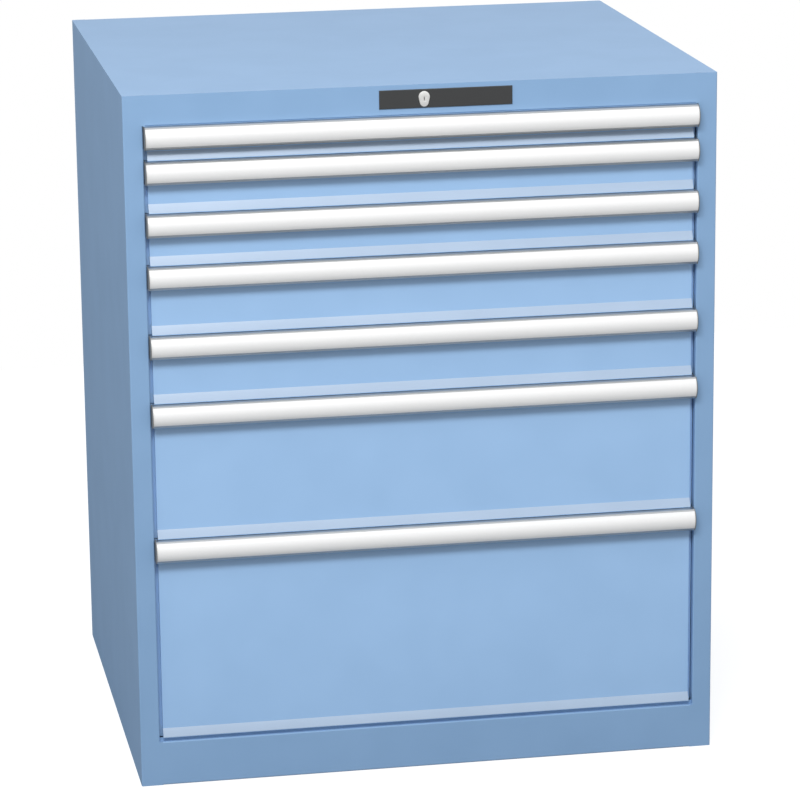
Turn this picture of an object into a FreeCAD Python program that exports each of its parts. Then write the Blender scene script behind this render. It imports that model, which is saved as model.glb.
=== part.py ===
import FreeCAD, Part
import math
import os

# Modular drawer cabinet, in millimetres: X to the right, Y into the depth, Z up.
# The origin is under the middle of the whole object, at the floor.

# Driving dimensions of the housing
cabinet_width = 852.0
cabinet_depth = 725.0
front_heights = (50.0, 75.0, 75.0, 100.0, 100.0, 200.0, 300.0)  # from the top drawer down
top_rail_height = 43.0
bottom_rail_height = 66.0
lowest_gap = 6.0  # between the lowest front and the bottom rail
stile_width = 28.0
housing_sheet = 1.5
bend_radius = 1.5
edge_radius = 0.5
jamb_depth = 16.0
jamb_lip = 8.0
rear_flange = 20.0
rear_sheet = 1.0
rear_edge_gap = 1.0
cover_flange = 20.0
floor_height = 40.0
base_return = 34.0
bolt_hole_radius = 5.5
bolt_inset_x = 18.0
bolt_inset_y = 60.0

# Driving dimensions of the drawers
front_side_gap = 5.5
front_recess = 6.0
front_sheet = 1.2
front_pan_depth = 14.0
front_top_gap = 2.0
lip_height = 11.0
lip_reach = 7.0
lip_gap = 2.0
lip_return = 9.0
tray_sheet = 1.0
tray_lift = 6.0
tray_drop = 8.0
tray_depth = 665.0
drawer_travel = 612.0

cut_margin = 1.0  # how far a cutting tool passes the face that it cuts

# Driving dimensions of the handle
handle_height = 32.0
handle_top_gap = 1.0
handle_side_gap = 1.0
handle_edge_reach = 10.0
handle_bulge = 8.0
handle_wall = 3.0
handle_flange = 2.0
handle_flange_drop = 16.0
cap_thickness = 2.0
label_depth = 1.2
label_angle = 44.0

# Driving dimensions of the slides
slide_inset = 6.0  # from the opening's edge to the carriage bar
bar_thickness = 3.0
bar_height = 20.0
running_gap = 1.0
runner_gap = 1.5
drawer_rail_width = 13.5
rail_sheet = 1.5
runner_sheet = 2.0
roller_radius = 12.0
roller_gap = 0.3
roller_sides = 18  # few faces, because there are 56 discs
track_height = 24.8
track_level = 12.0  # top of the runner rail's lower flange above the drawer's place
upright_depth = 14.5
upright_width = 30.0
upright_inset = 2.0
upright_rear_inset = 40.0
slot_pitch = 25.0
slot_width = 4.0
slot_height = 12.0
slot_level = 24.0
hook_thickness = 3.0
hook_drop = 4.0
hook_gap = 0.3
rail_front_inset = 34.0
rail_rear_gap = 5.0
end_gap = 3.0
stop_sheet = 2.0

# Driving dimensions of the lock
lock_x = 0.0
lock_drop = 20.0
cover_left = 64.0
cover_right = 127.0
cover_height = 26.5
cover_proud = 2.0
cover_bevel = 0.75
clip_inset = 18.0
clip_width = 12.0
clip_height = 8.0
clip_length = 6.0
escutcheon_top_radius = 6.5
escutcheon_tip_radius = 3.6
escutcheon_drop = 9.0
escutcheon_rise = 3.0
escutcheon_thickness = 2.0
case_radius = 6.0
case_depth = 14.0
plug_radius = 4.25
plug_clearance = 0.08
plug_recess = 0.3
case_bore_clearance = 0.3
case_cover_clearance = 1.0
keyway_width = 1.3
keyway_height = 5.5
keyway_depth = 8.0
cam_radius = 10.0
cam_thickness = 3.0
cam_gap = 0.4
crank_radius = 7.0
crank_pin_radius = 2.0
pin_reach = 1.0  # how far a pin or stud passes the rod
crank_half_angle = 45.0
pin_clearance = 0.5
rod_gap = 0.5
rod_thickness = 3.0
rod_height = 20.0
rod_below = 7.0
rod_end_margin = 7.0
rod_tip_margin = 5.0
bar_travel = 6.5
strip_width = 12.0
strip_thickness = 3.0
strip_gap = 2.0
strip_clearance = 3.0
strip_margin = 12.0
stud_radius = 2.0
stud_clearance = 0.4
stud_level = 7.0
catch_level = 41.0
catch_height = 5.0
catch_gap = 1.2
finger_height = 4.0
catch_sheet = 2.0
catch_inset = 2.0
finger_overlap = 6.0
stud_margin = 2.0
guide_sheet = 2.0
guide_clearance = 0.4
guide_rim = 3.0
guide_wall = 0.5
guide_end_distance = 90.0
rod_guide_distances = (130.0, 318.0)  # from the lock's axis

# Places that follow from the driving dimensions
stack_height = sum(front_heights)
opening_bottom = bottom_rail_height
stack_bottom = opening_bottom + lowest_gap
opening_top = stack_bottom + stack_height
cabinet_height = opening_top + top_rail_height
half_width = cabinet_width / 2
handle_reach = handle_edge_reach + handle_bulge
front_y = handle_reach - (cabinet_depth + handle_reach) / 2
back_y = front_y + cabinet_depth
side_inner = half_width - housing_sheet
opening_half = half_width - stile_width
cover_y = front_y + housing_sheet
rear_panel_y = back_y - housing_sheet - rear_sheet

panel_y = front_y + front_recess
front_half = opening_half - front_side_gap
tray_y = panel_y + front_sheet

bar_outer_x = opening_half - slide_inset
bar_inner_x = bar_outer_x - bar_thickness
drawer_rail_x = bar_inner_x - running_gap
tray_half = drawer_rail_x - drawer_rail_width
runner_x = bar_outer_x + runner_gap
upright_x = side_inner - upright_depth
rail_front_y = front_y + rail_front_inset
rail_rear_y = rear_panel_y - rail_rear_gap
carriage_travel = drawer_travel / 2
carriage_front_y = rail_front_y + end_gap
carriage_rear_y = rail_rear_y - end_gap - stop_sheet
mid_roller_y = rail_front_y + stop_sheet + end_gap + roller_radius + carriage_travel
drawer_rail_rear_y = mid_roller_y - carriage_travel + roller_radius + end_gap + stop_sheet + drawer_travel

lock_z = cabinet_height - lock_drop
case_end_y = front_y + case_depth
cam_y = case_end_y + cam_gap
rod_y = cam_y + cam_thickness + rod_gap
strip_y = rod_y + rod_thickness + strip_gap
strip_x = opening_half + strip_clearance
stud_x = strip_x + strip_width / 2
stud_z = lock_z + stud_level
crank_half_stroke = crank_radius * math.sin(math.radians(crank_half_angle))
rod_travel = 2 * crank_half_stroke
catch_y = strip_y + strip_thickness + strip_gap
catch_outer_x = opening_half - catch_inset
finger_x = catch_outer_x - finger_overlap


def vec(x, y, z):
    return FreeCAD.Vector(x, y, z)


def block(x0, x1, y0, y1, z0, z1):
    return Part.makeBox(x1 - x0, y1 - y0, z1 - z0, vec(x0, y0, z0))


def mirrored(shape):
    return shape.mirror(vec(0, 0, 0), vec(1, 0, 0))


def both_sides(shape):
    return [shape, mirrored(shape)]


def save(name, solids):
    shape = solids[0] if len(solids) == 1 else Part.makeCompound(solids)
    shape.exportStep("parts/" + name + ".step")
    print(name, len(shape.Solids), "solids", shape.isValid())


def bore_y(radius, y0, y1):
    """Cutting cylinder on the lock's axis."""
    length = y1 - y0 + 2 * cut_margin
    return Part.makeCylinder(radius, length, vec(lock_x, y0 - cut_margin, lock_z), vec(0, 1, 0))


def edges_in_front_of(solid, y):
    return [edge for edge in solid.Edges if edge.BoundBox.YMax < y]


def extrude_x(edges, x0, x1):
    """Extrude a closed outline of (y, z) edges, which lie in the plane x = 0."""
    face = Part.Face(Part.Wire(edges))
    face.translate(vec(x0, 0, 0))
    return face.extrude(vec(x1 - x0, 0, 0))


def polygon_x(points, x0, x1):
    corners = [vec(0, y, z) for y, z in points]
    wire = Part.makePolygon(corners + corners[:1])
    return extrude_x(wire.Edges, x0, x1)


def polygon_y(points, y0, y1):
    corners = [vec(x, y0, z) for x, z in points]
    face = Part.Face(Part.makePolygon(corners + corners[:1]))
    return face.extrude(vec(0, y1 - y0, 0))


def folded_outline(points, sheet, radius):
    """Edges of a bent sheet in the XY plane: points run along one face, the sheet is on their left."""
    face_points = []
    other_points = []
    first = FreeCAD.Vector(*points[0], 0)
    last = FreeCAD.Vector(*points[-1], 0)
    corners = [FreeCAD.Vector(x, y, 0) for x, y in points]
    directions = [(b - a).normalize() for a, b in zip(corners, corners[1:])]
    normals = [FreeCAD.Vector(-d.y, d.x, 0) for d in directions]
    face_points.append((first, None, None))
    other_points.append((first + normals[0] * sheet, None, None))
    for i in range(1, len(corners) - 1):
        before, after = directions[i - 1], directions[i]
        turn = before.x * after.y - before.y * after.x
        angle = before.getAngle(after)
        face_radius = radius + sheet if turn > 0 else radius
        side = 1 if turn > 0 else -1
        reach = face_radius * math.tan(angle / 2)
        start = corners[i] - before * reach
        end = corners[i] + after * reach
        centre = start + normals[i - 1] * side * face_radius
        outward = (corners[i] - centre).normalize()
        face_points.append((start, centre + outward * face_radius, end))
        other_radius = face_radius - side * sheet
        other_start = start + normals[i - 1] * sheet
        other_end = end + normals[i] * sheet
        other_points.append((other_start, centre + outward * other_radius, other_end))
    face_points.append((last, None, None))
    other_points.append((last + normals[-1] * sheet, None, None))
    edges = side_edges(face_points)
    edges += side_edges(other_points)
    edges.append(Part.LineSegment(face_points[0][0], other_points[0][0]).toShape())
    edges.append(Part.LineSegment(face_points[-1][0], other_points[-1][0]).toShape())
    return Part.sortEdges(edges)[0]


def side_edges(stations):
    edges = []
    place = stations[0][0]
    for start, middle, end in stations[1:]:
        edges.append(Part.LineSegment(place, start).toShape())
        if middle is None:
            break
        edges.append(Part.Arc(start, middle, end).toShape())
        place = end
    return edges


def folded_z(points, sheet, radius, z0, z1):
    """Bent sheet with its section in XY."""
    face = Part.Face(Part.Wire(folded_outline(points, sheet, radius)))
    face.translate(vec(0, 0, z0))
    return face.extrude(vec(0, 0, z1 - z0))


def folded_x(points, sheet, radius, x0, x1):
    """Bent sheet with its section in YZ, points as (y, z)."""
    face = Part.Face(Part.Wire(folded_outline(points, sheet, radius)))
    face.rotate(vec(0, 0, 0), vec(1, 1, 1), 120)
    face.translate(vec(x0, 0, 0))
    return face.extrude(vec(x1 - x0, 0, 0))


def folded_y(points, sheet, radius, y0, y1):
    """Bent sheet with its section in XZ, points as (x, z); the sheet is on their left seen from the front."""
    face = Part.Face(Part.Wire(folded_outline(points, sheet, radius)))
    face.rotate(vec(0, 0, 0), vec(1, 0, 0), 90)
    face.translate(vec(0, y1, 0))
    return face.extrude(vec(0, y0 - y1, 0))


def channel(open_x, web_x, low, high, sheet, y0, y1):
    """Square-cornered channel along Y: two flanges that reach from the web to open_x."""
    inner_web_x = web_x + math.copysign(sheet, open_x - web_x)
    section = [
        (open_x, low),
        (web_x, low),
        (web_x, high),
        (open_x, high),
        (open_x, high - sheet),
        (inner_web_x, high - sheet),
        (inner_web_x, low + sheet),
        (open_x, low + sheet),
    ]
    return polygon_y(section, y0, y1)


# Housing
def side_panel():
    section = [
        (opening_half + jamb_lip, front_y + jamb_depth),
        (opening_half, front_y + jamb_depth),
        (opening_half, front_y),
        (half_width, front_y),
        (half_width, back_y),
        (half_width - rear_flange, back_y),
    ]
    panel = folded_z(section, housing_sheet, edge_radius, 0, cabinet_height)
    relief = block(
        0, side_inner,
        cover_y, back_y - housing_sheet,
        cabinet_height - cover_flange, cabinet_height,
    )
    return panel.cut(relief)


def rear_panel():
    half = side_inner - rear_edge_gap
    return block(-half, half, rear_panel_y, rear_panel_y + rear_sheet, 0, cabinet_height)


def top_cover():
    outer = block(
        -side_inner, side_inner,
        cover_y, rear_panel_y,
        cabinet_height - cover_flange, cabinet_height,
    )
    hollow = block(
        -side_inner + housing_sheet, side_inner - housing_sheet,
        cover_y + housing_sheet, rear_panel_y - housing_sheet,
        cabinet_height - cover_flange, cabinet_height - housing_sheet,
    )
    pan = outer.cut(hollow)
    relief_radius = case_radius + case_cover_clearance
    case_relief = bore_y(relief_radius, cover_y, cover_y + housing_sheet)
    clip_reliefs = [
        block(
            x - clip_width, x + clip_width,
            cover_y - cut_margin, cover_y + clip_length,
            0, lock_z + clip_height,
        )
        for x in clip_places()
    ]
    return pan.cut([case_relief] + clip_reliefs)


def clip_places():
    return [lock_x - cover_left + clip_inset, lock_x + cover_right - clip_inset]


def rail_pocket(x):
    half = clip_width / 2
    rise = clip_height / 2
    return block(
        x - half, x + half,
        front_y - cut_margin, cover_y + cut_margin,
        lock_z - rise, lock_z + rise,
    )


def top_rail():
    section = [
        (front_y, cabinet_height),
        (front_y, opening_top),
        (front_y + jamb_depth, opening_top),
    ]
    rail = folded_x(section, housing_sheet, edge_radius, -opening_half, opening_half)
    bore = bore_y(case_radius + case_bore_clearance, front_y, cover_y)
    return rail.cut([bore] + [rail_pocket(x) for x in clip_places()])


def bottom_rail():
    section = [
        (front_y + jamb_depth, opening_bottom),
        (front_y, opening_bottom),
        (front_y, 0),
        (front_y + jamb_depth + housing_sheet, 0),
    ]
    return folded_x(section, housing_sheet, edge_radius, -opening_half, opening_half)


def base_pan():
    section = [
        (-side_inner + base_return, 0),
        (-side_inner, 0),
        (-side_inner, floor_height),
        (side_inner, floor_height),
        (side_inner, 0),
        (side_inner - base_return, 0),
    ]
    y0 = front_y + jamb_depth + housing_sheet
    pan = folded_y(section[::-1], housing_sheet, bend_radius, y0, rear_panel_y)
    holes = []
    for x in (-side_inner + bolt_inset_x, side_inner - bolt_inset_x):
        for y in (front_y + bolt_inset_y, back_y - bolt_inset_y):
            length = housing_sheet + 2 * cut_margin
            holes.append(Part.makeCylinder(bolt_hole_radius, length, vec(x, y, -cut_margin)))
    return pan.cut(holes)


# Slotted uprights and runner rails
def slot_levels():
    count = int(stack_height // slot_pitch)
    return [stack_bottom + slot_level + slot_pitch * i for i in range(count)]


def upright_places():
    front = rail_front_y + upright_inset
    rear = rear_panel_y - upright_rear_inset - upright_width
    return [front, rear]


def upright(y):
    section = [
        (side_inner, y + upright_width),
        (upright_x, y + upright_width),
        (upright_x, y),
        (side_inner, y),
    ]
    post = folded_z(section, housing_sheet, bend_radius, floor_height, opening_top)
    middle = y + upright_width / 2
    slots = [
        block(
            upright_x - cut_margin, upright_x + housing_sheet + cut_margin,
            middle - slot_width / 2, middle + slot_width / 2,
            z, z + slot_height,
        )
        for z in slot_levels()
    ]
    return post.cut(slots)


def rail_hook(y, level):
    """Tab through an upright's slot that drops behind its web."""
    middle = y + upright_width / 2
    behind = upright_x + housing_sheet + hook_gap
    section = [
        (upright_x - runner_sheet, level),
        (behind, level),
        (behind, level - hook_drop),
        (behind + hook_thickness, level - hook_drop),
        (behind + hook_thickness, level + hook_drop),
        (upright_x - runner_sheet, level + hook_drop),
    ]
    return polygon_y(section, middle - hook_thickness / 2, middle + hook_thickness / 2)


def runner_rail(place_z):
    low = place_z + track_level - runner_sheet
    high = place_z + track_level + track_height + runner_sheet
    rail = channel(runner_x, upright_x, low, high, runner_sheet, rail_front_y, rail_rear_y)
    stops = [
        block(runner_x, upright_x, rail_front_y, rail_front_y + stop_sheet, low, high),
        block(runner_x, upright_x, rail_rear_y - stop_sheet, rail_rear_y, low, high),
    ]
    hooks = [rail_hook(y, place_z + slot_level) for y in upright_places()]
    return rail.fuse(stops + hooks).removeSplitter()


# Roller carriages
def disc(y, z, x0, x1):
    turns = [2 * math.pi * i / roller_sides for i in range(roller_sides)]
    rim = [(y + roller_radius * math.sin(turn), z + roller_radius * math.cos(turn)) for turn in turns]
    return polygon_x(rim, x0, x1)


def roller(y, place_z, inner, outer):
    """Roller of a carriage: the inner disc carries the drawer, the outer disc runs on the runner rail."""
    centre_z = place_z + track_level + roller_radius + roller_gap
    discs = []
    if inner:
        discs.append(disc(y, centre_z, tray_half + rail_sheet + running_gap, bar_inner_x))
    if outer:
        discs.append(disc(y, centre_z, bar_outer_x, upright_x - runner_sheet - running_gap))
    return discs


def carriage(place_z):
    centre_z = place_z + track_level + roller_radius + roller_gap
    bar = block(
        bar_inner_x, bar_outer_x,
        carriage_front_y, carriage_rear_y,
        centre_z - bar_height / 2, centre_z + bar_height / 2,
    )
    solids = [bar]
    solids += roller(carriage_front_y + roller_radius, place_z, True, False)
    solids += roller(mid_roller_y, place_z, True, True)
    solids += roller(carriage_rear_y - roller_radius, place_z, False, True)
    return [side for solid in solids for side in both_sides(solid)]


# Drawers
def tray(place_z, height):
    low = place_z + tray_lift
    high = place_z + height - tray_drop
    outer = block(-tray_half, tray_half, tray_y, tray_y + tray_depth, low, high)
    hollow = block(
        -tray_half + tray_sheet, tray_half - tray_sheet,
        tray_y + tray_sheet, tray_y + tray_depth - tray_sheet,
        low + tray_sheet, high + cut_margin,
    )
    return outer.cut(hollow)


def running_rail(place_z):
    under_top = place_z + track_level + 2 * roller_radius + 2 * roller_gap
    high = under_top + rail_sheet
    low = under_top - track_height - rail_sheet
    start = catch_y + catch_sheet
    rail = channel(drawer_rail_x, tray_half, low, high, rail_sheet, start, drawer_rail_rear_y)
    stop = block(tray_half, drawer_rail_x, drawer_rail_rear_y - stop_sheet, drawer_rail_rear_y, low, high)
    return rail.fuse(stop).removeSplitter()


def catch_plate(place_z):
    low = place_z + catch_level
    under_top = place_z + track_level + 2 * roller_radius + 2 * roller_gap
    section = [
        (tray_half, under_top - roller_radius),
        (drawer_rail_x, under_top - roller_radius),
        (drawer_rail_x, low),
        (catch_outer_x, low),
        (catch_outer_x, low + catch_height),
        (tray_half, low + catch_height),
    ]
    return polygon_y(section, catch_y, catch_y + catch_sheet)


def drawer_front(place_z, height):
    top = place_z + height - front_top_gap
    lip_bottom = place_z + lip_gap
    lip_top = lip_bottom + lip_height
    rear = panel_y + front_pan_depth
    section = [
        (rear, top),
        (panel_y, top),
        (panel_y, lip_top),
        (panel_y - lip_reach, lip_bottom),
        (panel_y - lip_reach + lip_return, lip_bottom),
    ]
    panel = folded_x(section, front_sheet, edge_radius, -front_half, front_half)
    cheek = [
        (panel_y + front_sheet / 2, top - front_sheet / 2),
        (rear, top - front_sheet / 2),
        (rear, lip_bottom + front_sheet / 2),
        (panel_y - lip_reach + 3 * front_sheet, lip_bottom + front_sheet / 2),
        (panel_y + front_sheet / 2, lip_top + front_sheet / 2),
    ]
    right = polygon_x(cheek, front_half - front_sheet, front_half)
    return panel.fuse(both_sides(right)).removeSplitter()


# Handle
def handle_arc(place_z, height):
    """Centre and radius of the handle's face, as (y, z, radius)."""
    half = handle_height / 2
    radius = (half ** 2 + handle_bulge ** 2) / (2 * handle_bulge)
    top = place_z + height - handle_top_gap
    return front_y - handle_reach + radius, top - half, radius


def on_arc(centre_y, centre_z, radius, angle):
    turn = math.radians(angle)
    return vec(0, centre_y - radius * math.cos(turn), centre_z + radius * math.sin(turn))


def arc_edge(centre_y, centre_z, radius, start, end):
    points = [on_arc(centre_y, centre_z, radius, angle) for angle in (start, (start + end) / 2, end)]
    return Part.Arc(*points).toShape()


def line_edge(a, b):
    return Part.LineSegment(a, b).toShape()


def handle(place_z, height):
    cy, cz, radius = handle_arc(place_z, height)
    half = handle_height / 2
    edge_angle = math.degrees(math.asin(half / radius))
    inner_radius = radius - handle_wall
    inner_top_angle = math.degrees(math.asin((half - handle_flange) / inner_radius))
    seat = radius - label_depth
    top = cz + half
    flange_under = top - handle_flange
    edges = [
        arc_edge(cy, cz, radius, edge_angle, label_angle),
        line_edge(on_arc(cy, cz, radius, label_angle), on_arc(cy, cz, seat, label_angle)),
        arc_edge(cy, cz, seat, label_angle, -label_angle),
        line_edge(on_arc(cy, cz, seat, -label_angle), on_arc(cy, cz, radius, -label_angle)),
        arc_edge(cy, cz, radius, -label_angle, -edge_angle),
        line_edge(on_arc(cy, cz, radius, -edge_angle), on_arc(cy, cz, inner_radius, -edge_angle)),
        arc_edge(cy, cz, inner_radius, -edge_angle, inner_top_angle),
    ]
    back = [
        on_arc(cy, cz, inner_radius, inner_top_angle),
        vec(0, panel_y - handle_flange, flange_under),
        vec(0, panel_y - handle_flange, top - handle_flange_drop),
        vec(0, panel_y, top - handle_flange_drop),
        vec(0, panel_y, top),
        on_arc(cy, cz, radius, edge_angle),
    ]
    edges += [line_edge(a, b) for a, b in zip(back, back[1:])]
    half_length = opening_half - handle_side_gap - cap_thickness
    return extrude_x(edges, -half_length, half_length)


def label_strip(place_z, height):
    cy, cz, radius = handle_arc(place_z, height)
    seat = radius - label_depth
    edges = [
        arc_edge(cy, cz, radius, label_angle, -label_angle),
        line_edge(on_arc(cy, cz, radius, -label_angle), on_arc(cy, cz, seat, -label_angle)),
        arc_edge(cy, cz, seat, -label_angle, label_angle),
        line_edge(on_arc(cy, cz, seat, label_angle), on_arc(cy, cz, radius, label_angle)),
    ]
    half_length = opening_half - handle_side_gap - cap_thickness
    return extrude_x(edges, -half_length, half_length)


def end_cap(place_z, height):
    cy, cz, radius = handle_arc(place_z, height)
    half = handle_height / 2
    edge_angle = math.degrees(math.asin(half / radius))
    top = cz + half
    corners = [
        on_arc(cy, cz, radius, -edge_angle),
        vec(0, panel_y - handle_flange, top - handle_flange_drop),
        vec(0, panel_y, top - handle_flange_drop),
        vec(0, panel_y, top),
        on_arc(cy, cz, radius, edge_angle),
    ]
    edges = [arc_edge(cy, cz, radius, edge_angle, -edge_angle)]
    edges += [line_edge(a, b) for a, b in zip(corners, corners[1:])]
    outer = opening_half - handle_side_gap
    return extrude_x(edges, outer - cap_thickness, outer)


# Lock
def lock_cover():
    low = lock_z - cover_height / 2
    plate = block(
        lock_x - cover_left, lock_x + cover_right,
        front_y - cover_proud, front_y,
        low, low + cover_height,
    )
    front_edges = edges_in_front_of(plate, front_y - cover_proud / 2)
    plate = plate.makeChamfer(cover_bevel, front_edges)
    clips = []
    for x in clip_places():
        clips.append(
            block(
                x - clip_width / 2, x + clip_width / 2,
                front_y, front_y + clip_length,
                lock_z - clip_height / 2, lock_z + clip_height / 2,
            )
        )
    bore = bore_y(case_radius, front_y - cover_proud, front_y)
    return plate.fuse(clips).removeSplitter().cut(bore)


def lock_case():
    y0 = front_y - cover_proud - escutcheon_thickness
    top_z = lock_z + escutcheon_rise
    tip_z = top_z - escutcheon_drop
    lean = math.asin((escutcheon_top_radius - escutcheon_tip_radius) / escutcheon_drop)
    across = vec(math.cos(lean), 0, -math.sin(lean))
    top_centre = vec(lock_x, y0, top_z)
    tip_centre = vec(lock_x, y0, tip_z)
    right_top = top_centre + across * escutcheon_top_radius
    right_tip = tip_centre + across * escutcheon_tip_radius
    left_top = vec(2 * lock_x - right_top.x, y0, right_top.z)
    left_tip = vec(2 * lock_x - right_tip.x, y0, right_tip.z)
    outline = Part.Wire([
        Part.Arc(left_top, top_centre + vec(0, 0, escutcheon_top_radius), right_top).toShape(),
        line_edge(right_top, right_tip),
        Part.Arc(right_tip, tip_centre - vec(0, 0, escutcheon_tip_radius), left_tip).toShape(),
        line_edge(left_tip, left_top),
    ])
    shield = Part.Face(outline).extrude(vec(0, escutcheon_thickness, 0))
    barrel_start = vec(lock_x, y0 + escutcheon_thickness, lock_z)
    barrel = Part.makeCylinder(case_radius, case_end_y - barrel_start.y, barrel_start, vec(0, 1, 0))
    bore = bore_y(plug_radius + plug_clearance, y0, case_end_y)
    return shield.fuse(barrel).cut(bore)


def lock_cylinder():
    y0 = front_y - cover_proud - escutcheon_thickness + plug_recess
    plug = Part.makeCylinder(plug_radius, cam_y - y0, vec(lock_x, y0, lock_z), vec(0, 1, 0))
    cam = Part.makeCylinder(cam_radius, cam_thickness, vec(lock_x, cam_y, lock_z), vec(0, 1, 0))
    pin_z = lock_z + crank_radius * math.cos(math.radians(crank_half_angle))
    pin = Part.makeCylinder(
        crank_pin_radius, cam_thickness + rod_gap + rod_thickness + pin_reach,
        vec(lock_x - crank_half_stroke, cam_y, pin_z), vec(0, 1, 0),
    )
    keyway = block(
        lock_x - keyway_width / 2, lock_x + keyway_width / 2,
        y0 - cut_margin, y0 + keyway_depth,
        lock_z - keyway_height / 2, lock_z + keyway_height / 2,
    )
    return plug.fuse([cam, pin]).removeSplitter().cut(keyway)


def lock_rod():
    """Rod with an upright slot for the crank pin and a sloping slot for the locking bar's stud."""
    pin_x = lock_x - crank_half_stroke
    low = lock_z - rod_below
    left = pin_x - rod_end_margin
    right = stud_x + rod_tip_margin
    plate = block(left, right, rod_y, rod_y + rod_thickness, low, low + rod_height)
    half = crank_pin_radius + pin_clearance
    pin_low = lock_z + crank_radius * math.cos(math.radians(crank_half_angle)) - half
    pin_high = lock_z + crank_radius + half
    upright_slot = block(
        pin_x - half, pin_x + half,
        rod_y - cut_margin, rod_y + rod_thickness + cut_margin,
        pin_low, pin_high,
    )
    slope = math.atan2(bar_travel, rod_travel)
    along = vec(-math.cos(slope), 0, -math.sin(slope))
    across = vec(-math.sin(slope), 0, math.cos(slope))
    radius = stud_radius + stud_clearance
    start = vec(stud_x, rod_y - cut_margin, stud_z)
    end = start + along * math.hypot(bar_travel, rod_travel)
    slot_outline = Part.Wire([
        line_edge(start + across * radius, end + across * radius),
        Part.Arc(end + across * radius, end + along * radius, end - across * radius).toShape(),
        line_edge(end - across * radius, start - across * radius),
        Part.Arc(start - across * radius, start - along * radius, start + across * radius).toShape(),
    ])
    sloping_slot = Part.Face(slot_outline).extrude(vec(0, rod_thickness + 2 * cut_margin, 0))
    return plate.cut([upright_slot, sloping_slot])


def locking_bar(places):
    low = min(places) + catch_level - strip_margin
    high = stud_z + stud_radius + stud_margin
    strip = block(strip_x, strip_x + strip_width, strip_y, strip_y + strip_thickness, low, high)
    stud_length = strip_y - rod_y + pin_reach
    stud_start = vec(stud_x, rod_y - pin_reach, stud_z)
    stud = Part.makeCylinder(stud_radius, stud_length, stud_start, vec(0, 1, 0))
    return strip.fuse(stud)


def lock_catch(place_z):
    low = place_z + catch_level + catch_height + catch_gap
    return block(finger_x, strip_x, strip_y, strip_y + strip_thickness, low, low + finger_height)


def bar_guide(z):
    y0 = strip_y - guide_rim
    y1 = strip_y + strip_thickness + guide_rim
    outer = block(strip_x - guide_clearance - guide_wall, side_inner, y0, y1, z, z + guide_sheet)
    hole = block(
        strip_x - guide_clearance, strip_x + strip_width + guide_clearance,
        strip_y - guide_clearance, strip_y + strip_thickness + guide_clearance,
        z - cut_margin, z + guide_sheet + cut_margin,
    )
    return outer.cut(hole)


def bar_guide_levels():
    low = opening_bottom + guide_end_distance
    high = opening_top - guide_end_distance
    return [low, (low + high) / 2, high]


def rod_guide(x):
    low = lock_z - rod_below - guide_rim
    outer = block(
        x, x + guide_sheet,
        rod_y - guide_rim / 2, rod_y + rod_thickness + guide_rim,
        low, cabinet_height - housing_sheet,
    )
    hole = block(
        x - cut_margin, x + guide_sheet + cut_margin,
        rod_y - guide_clearance, rod_y + rod_thickness + guide_clearance,
        lock_z - rod_below - guide_clearance, lock_z - rod_below + rod_height + guide_clearance,
    )
    return outer.cut(hole)


def drawer_places():
    """Lowest level of each drawer's place, from the top drawer down."""
    levels = []
    level = opening_top
    for height in front_heights:
        level -= height
        levels.append(level)
    return levels


os.makedirs("parts", exist_ok=True)
places = drawer_places()

right_side = side_panel()
save("right_side_panel", [right_side])
save("left_side_panel", [mirrored(right_side)])
save("rear_panel", [rear_panel()])
save("top_cover", [top_cover()])
save("top_rail", [top_rail()])
save("bottom_rail", [bottom_rail()])
save("base_pan", [base_pan()])

front_post, rear_post = [upright(y) for y in upright_places()]
save("front_uprights", both_sides(front_post))
save("rear_uprights", both_sides(rear_post))
save("runner_rails", [side for z in places for side in both_sides(runner_rail(z))])

save("lock_cover", [lock_cover()])
save("lock_case", [lock_case()])
save("lock_cylinder", [lock_cylinder()])
save("lock_rod", [lock_rod()])
save("locking_bar", [locking_bar(places)])
save("lock_catches", [lock_catch(z) for z in places])
save("bar_guides", [bar_guide(z) for z in bar_guide_levels()])
save("rod_guides", [rod_guide(lock_x + distance) for distance in rod_guide_distances])

for number, (place, front_height) in enumerate(zip(places, front_heights), start=1):
    name = "drawer_" + str(number)
    rails = both_sides(running_rail(place))
    save(name + "_tray", [tray(place, front_height)] + rails + [catch_plate(place)])
    save(name + "_front", [drawer_front(place, front_height)])
    save(name + "_handle", [handle(place, front_height)])
    save(name + "_label_strip", [label_strip(place, front_height)])
    save(name + "_end_caps", both_sides(end_cap(place, front_height)))
    save("carriage_" + str(number), carriage(place))
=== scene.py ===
import math
import bpy
import bmesh
from mathutils import Matrix, Vector


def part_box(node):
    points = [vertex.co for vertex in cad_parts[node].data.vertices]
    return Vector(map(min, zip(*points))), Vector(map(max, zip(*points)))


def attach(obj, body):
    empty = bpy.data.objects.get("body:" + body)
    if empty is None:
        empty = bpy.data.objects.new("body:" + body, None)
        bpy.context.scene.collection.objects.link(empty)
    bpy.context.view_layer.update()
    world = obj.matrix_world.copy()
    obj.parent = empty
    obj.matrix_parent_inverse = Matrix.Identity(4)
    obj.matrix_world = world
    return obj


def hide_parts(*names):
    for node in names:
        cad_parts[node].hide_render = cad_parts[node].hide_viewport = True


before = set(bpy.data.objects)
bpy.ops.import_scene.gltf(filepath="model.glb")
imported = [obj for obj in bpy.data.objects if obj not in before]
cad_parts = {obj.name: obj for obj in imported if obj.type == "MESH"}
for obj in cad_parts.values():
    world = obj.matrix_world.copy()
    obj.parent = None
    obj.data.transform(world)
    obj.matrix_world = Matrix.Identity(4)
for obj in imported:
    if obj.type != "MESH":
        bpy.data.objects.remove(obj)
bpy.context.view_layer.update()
drawerCount = sum(1 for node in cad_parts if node.endswith("_handle"))
print("frame loaded,", drawerCount, "drawers")


# Small helpers

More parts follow.
